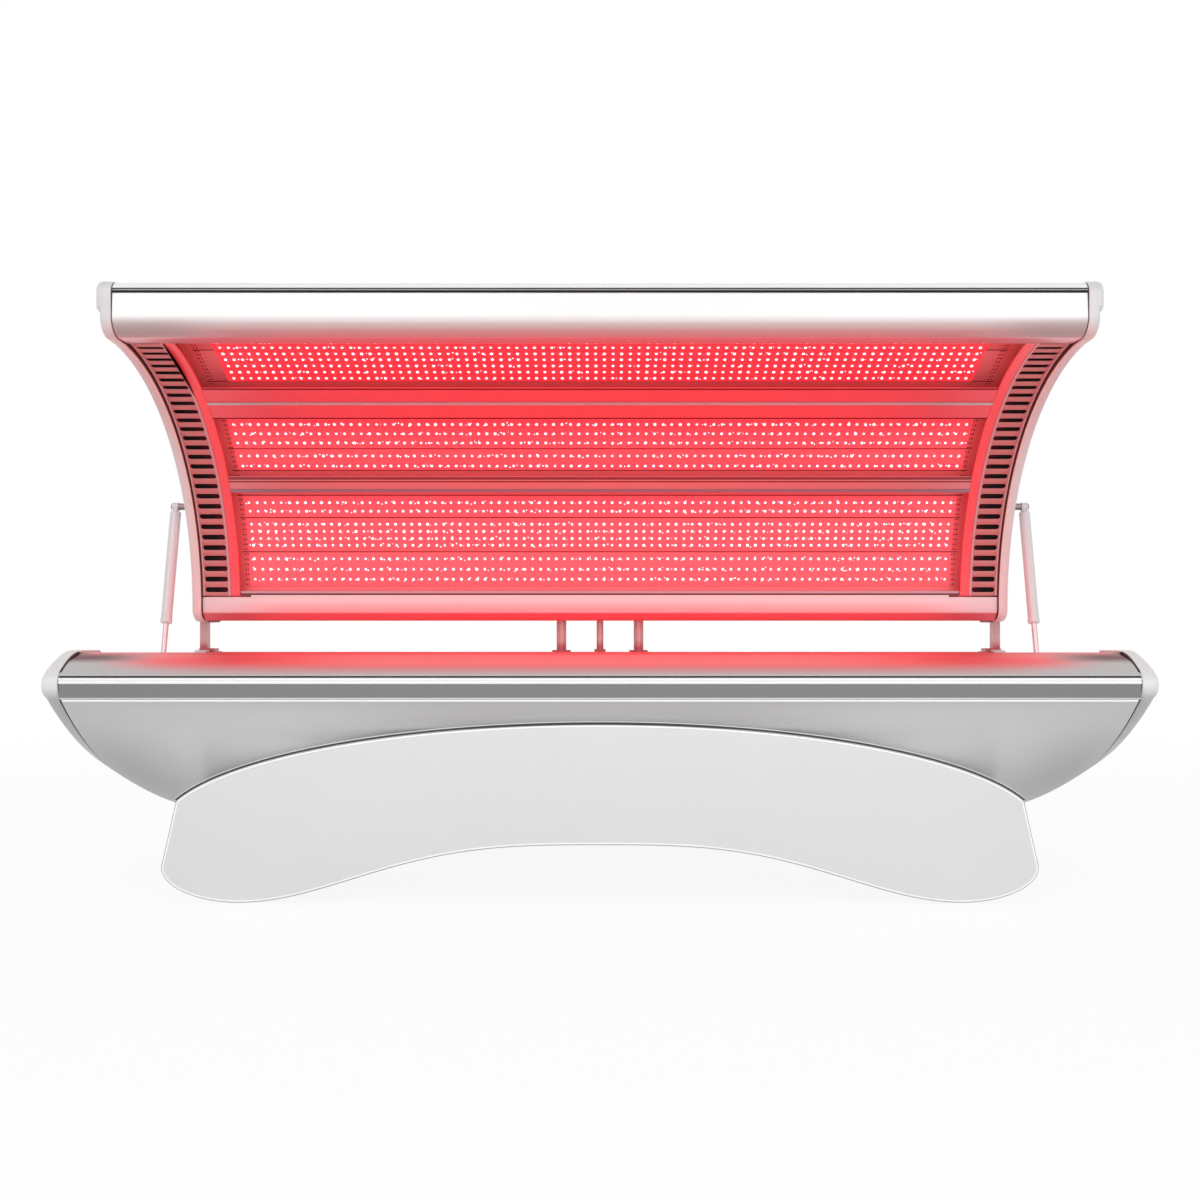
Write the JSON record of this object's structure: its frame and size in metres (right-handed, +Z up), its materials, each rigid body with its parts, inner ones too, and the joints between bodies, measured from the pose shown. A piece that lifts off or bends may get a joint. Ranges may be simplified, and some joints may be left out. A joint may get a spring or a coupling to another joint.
{
  "type": "led light therapy bed",
  "caption": "Light therapy bed: a curved bench with a clear lying surface over red lamp boards and a hinged canopy on gas struts that closes over it, on an arched pedestal.",
  "frame": {"origin": "on the floor under the middle of the bed", "axes": "+X along the bed, to the right seen from the open side; +Y from the open side to the hinge side; +Z up"},
  "size_m": [2.3018, 1.1, 1.3209],
  "materials": {
    "steel_black": "powder coat, matt",
    "white_panel": "satin lacquer",
    "black_foot": "matt",
    "silver_panel": "silver lacquer",
    "rim_aluminium": "satin anodised",
    "grey_band": "satin",
    "bright_bead": "gloss",
    "white_cap": "gloss",
    "black_seal": "matt",
    "clear_acrylic": "clear, polished",
    "tray_aluminium": "mill finish",
    "lamp_board": "solder mask",
    "driver_case": "perforated sheet",
    "black_plastic": "moulded",
    "black_wire": "powder coat",
    "steel_plate": "brushed",
    "rocker_plastic": "gloss",
    "post_steel": "white powder coat",
    "stud_steel": "zinc plated",
    "white_shell": "gloss",
    "nose_aluminium": "silver lacquer",
    "rail_aluminium": "satin anodised",
    "rib_board": "plywood",
    "red_strip": "gloss",
    "vent_panel": "satin",
    "strut_tube": "gloss white",
    "strut_rod": "polished"
  },
  "bodies": {
    "bench": {"pedestal_frame": "steel_black", "front_skirt": "white_panel", "rear_skirt": "white_panel", "pedestal_end_left": "white_panel", "pedestal_end_right": "white_panel", "bench_hull": "silver_panel", "bench_frame": "steel_black", "front_rim": "rim_aluminium", "rear_rim": "rim_aluminium", "trim_bands": "grey_band", "trim_beads": "bright_bead", "bench_cap_left": "white_cap", "bench_cap_right": "white_cap", "bench_end_seals": "black_seal", "bench_acrylic": "clear_acrylic", "bench_led_tray": "tray_aluminium", "bench_led_boards": "lamp_board", "power_supplies": "driver_case", "bench_fan_frames": "black_plastic", "bench_fan_guards": "black_wire", "inlet_plate": "steel_plate", "mains_inlet": "black_plastic", "hinge_post_left": "post_steel", "hinge_post_right": "post_steel", "centre_posts": "post_steel", "cable_pipe": "post_steel", "strut_lower_studs": "stud_steel"},
    "canopy": {"canopy_shell": "white_shell", "canopy_backbone": "tray_aluminium", "canopy_nose": "nose_aluminium", "bottom_rail": "rail_aluminium", "canopy_cap_left": "white_cap", "canopy_cap_right": "white_cap", "canopy_end_seals": "black_seal", "canopy_ribs": "rib_board", "canopy_led_trays": "tray_aluminium", "canopy_led_boards": "lamp_board", "canopy_acrylic": "clear_acrylic", "canopy_cross_rails": "rail_aluminium", "edge_strips": "red_strip", "vent_band_left": "vent_panel", "vent_band_right": "vent_panel", "canopy_fan_frames": "black_plastic", "canopy_fan_guards": "black_wire", "hinge_shaft": "stud_steel", "strut_upper_studs": "stud_steel", "lamp_drivers": "driver_case"},
    "levelling_foot_front_left": {"levelling_foot_front_left": "black_foot"},
    "levelling_foot_front_right": {"levelling_foot_front_right": "black_foot"},
    "levelling_foot_rear_left": {"levelling_foot_rear_left": "black_foot"},
    "levelling_foot_rear_right": {"levelling_foot_rear_right": "black_foot"},
    "bench_fan_rotor_left": {"bench_fan_rotor_left": "black_plastic"},
    "bench_fan_rotor_right": {"bench_fan_rotor_right": "black_plastic"},
    "power_rocker": {"power_rocker": "rocker_plastic"},
    "canopy_fan_rotor_left": {"canopy_fan_rotor_left": "black_plastic"},
    "canopy_fan_rotor_right": {"canopy_fan_rotor_right": "black_plastic"},
    "strut_tube_left": {"strut_tube_left": "strut_tube"},
    "strut_tube_right": {"strut_tube_right": "strut_tube"},
    "strut_rod_left": {"strut_rod_left": "strut_rod"},
    "strut_rod_right": {"strut_rod_right": "strut_rod"}
  },
  "joints": [
    {"name": "canopy_hinge", "type": "hinge", "parent": "bench", "child": "canopy", "pos_m": [0, 0.395, 0.615], "axis": [1, 0, 0], "range_deg": [0, 45], "stiffness_Nm_per_rad": 130, "springref_deg": -91.67},
    {"name": "strut_swing_left", "type": "hinge", "parent": "canopy", "child": "strut_tube_left", "pos_m": [-1.136, 0.31, 0.892], "axis": [1, 0, 0], "range_deg": [-28, 0]},
    {"name": "strut_slide_left", "type": "slide", "parent": "strut_tube_left", "child": "strut_rod_left", "axis": [0, -0.2328, -0.9725], "range_m": [-0.16, 0]},
    {"name": "strut_swing_right", "type": "hinge", "parent": "canopy", "child": "strut_tube_right", "pos_m": [1.136, 0.31, 0.892], "axis": [1, 0, 0], "range_deg": [-28, 0]},
    {"name": "strut_slide_right", "type": "slide", "parent": "strut_tube_right", "child": "strut_rod_right", "axis": [0, -0.2328, -0.9725], "range_m": [-0.16, 0]},
    {"name": "canopy_fan_left", "type": "hinge", "parent": "canopy", "child": "canopy_fan_rotor_left", "pos_m": [-0.8, 0.37806, 0.93459], "axis": [0, 0.8829, 0.4695], "continuous": true},
    {"name": "canopy_fan_right", "type": "hinge", "parent": "canopy", "child": "canopy_fan_rotor_right", "pos_m": [0.8, 0.37806, 0.93459], "axis": [0, 0.8829, 0.4695], "continuous": true},
    {"name": "bench_fan_left", "type": "hinge", "parent": "bench", "child": "bench_fan_rotor_left", "pos_m": [-0.54, 0, 0.15], "axis": [0, 0, 1], "continuous": true},
    {"name": "bench_fan_right", "type": "hinge", "parent": "bench", "child": "bench_fan_rotor_right", "pos_m": [0.54, 0, 0.15], "axis": [0, 0, 1], "continuous": true},
    {"name": "power_switch", "type": "hinge", "parent": "bench", "child": "power_rocker", "pos_m": [0.626, 0.506, 0.15], "axis": [1, 0, 0], "range_deg": [0, 16]},
    {"name": "foot_screw_front_left", "type": "slide", "parent": "bench", "child": "levelling_foot_front_left", "axis": [0, 0, -1], "range_m": [0, 0.012]},
    {"name": "foot_screw_front_right", "type": "slide", "parent": "bench", "child": "levelling_foot_front_right", "axis": [0, 0, -1], "range_m": [0, 0.012]},
    {"name": "foot_screw_rear_left", "type": "slide", "parent": "bench", "child": "levelling_foot_rear_left", "axis": [0, 0, -1], "range_m": [0, 0.012]},
    {"name": "foot_screw_rear_right", "type": "slide", "parent": "bench", "child": "levelling_foot_rear_right", "axis": [0, 0, -1], "range_m": [0, 0.012]}
  ],
  "couplings": [
    {"joint": "strut_swing_left", "follows": "canopy_hinge", "ratio": -0.59278},
    {"joint": "strut_slide_left", "follows": "canopy_hinge", "m_per_rad": -0.19817},
    {"joint": "strut_swing_right", "follows": "canopy_hinge", "ratio": -0.59278},
    {"joint": "strut_slide_right", "follows": "canopy_hinge", "m_per_rad": -0.19817}
  ]
}
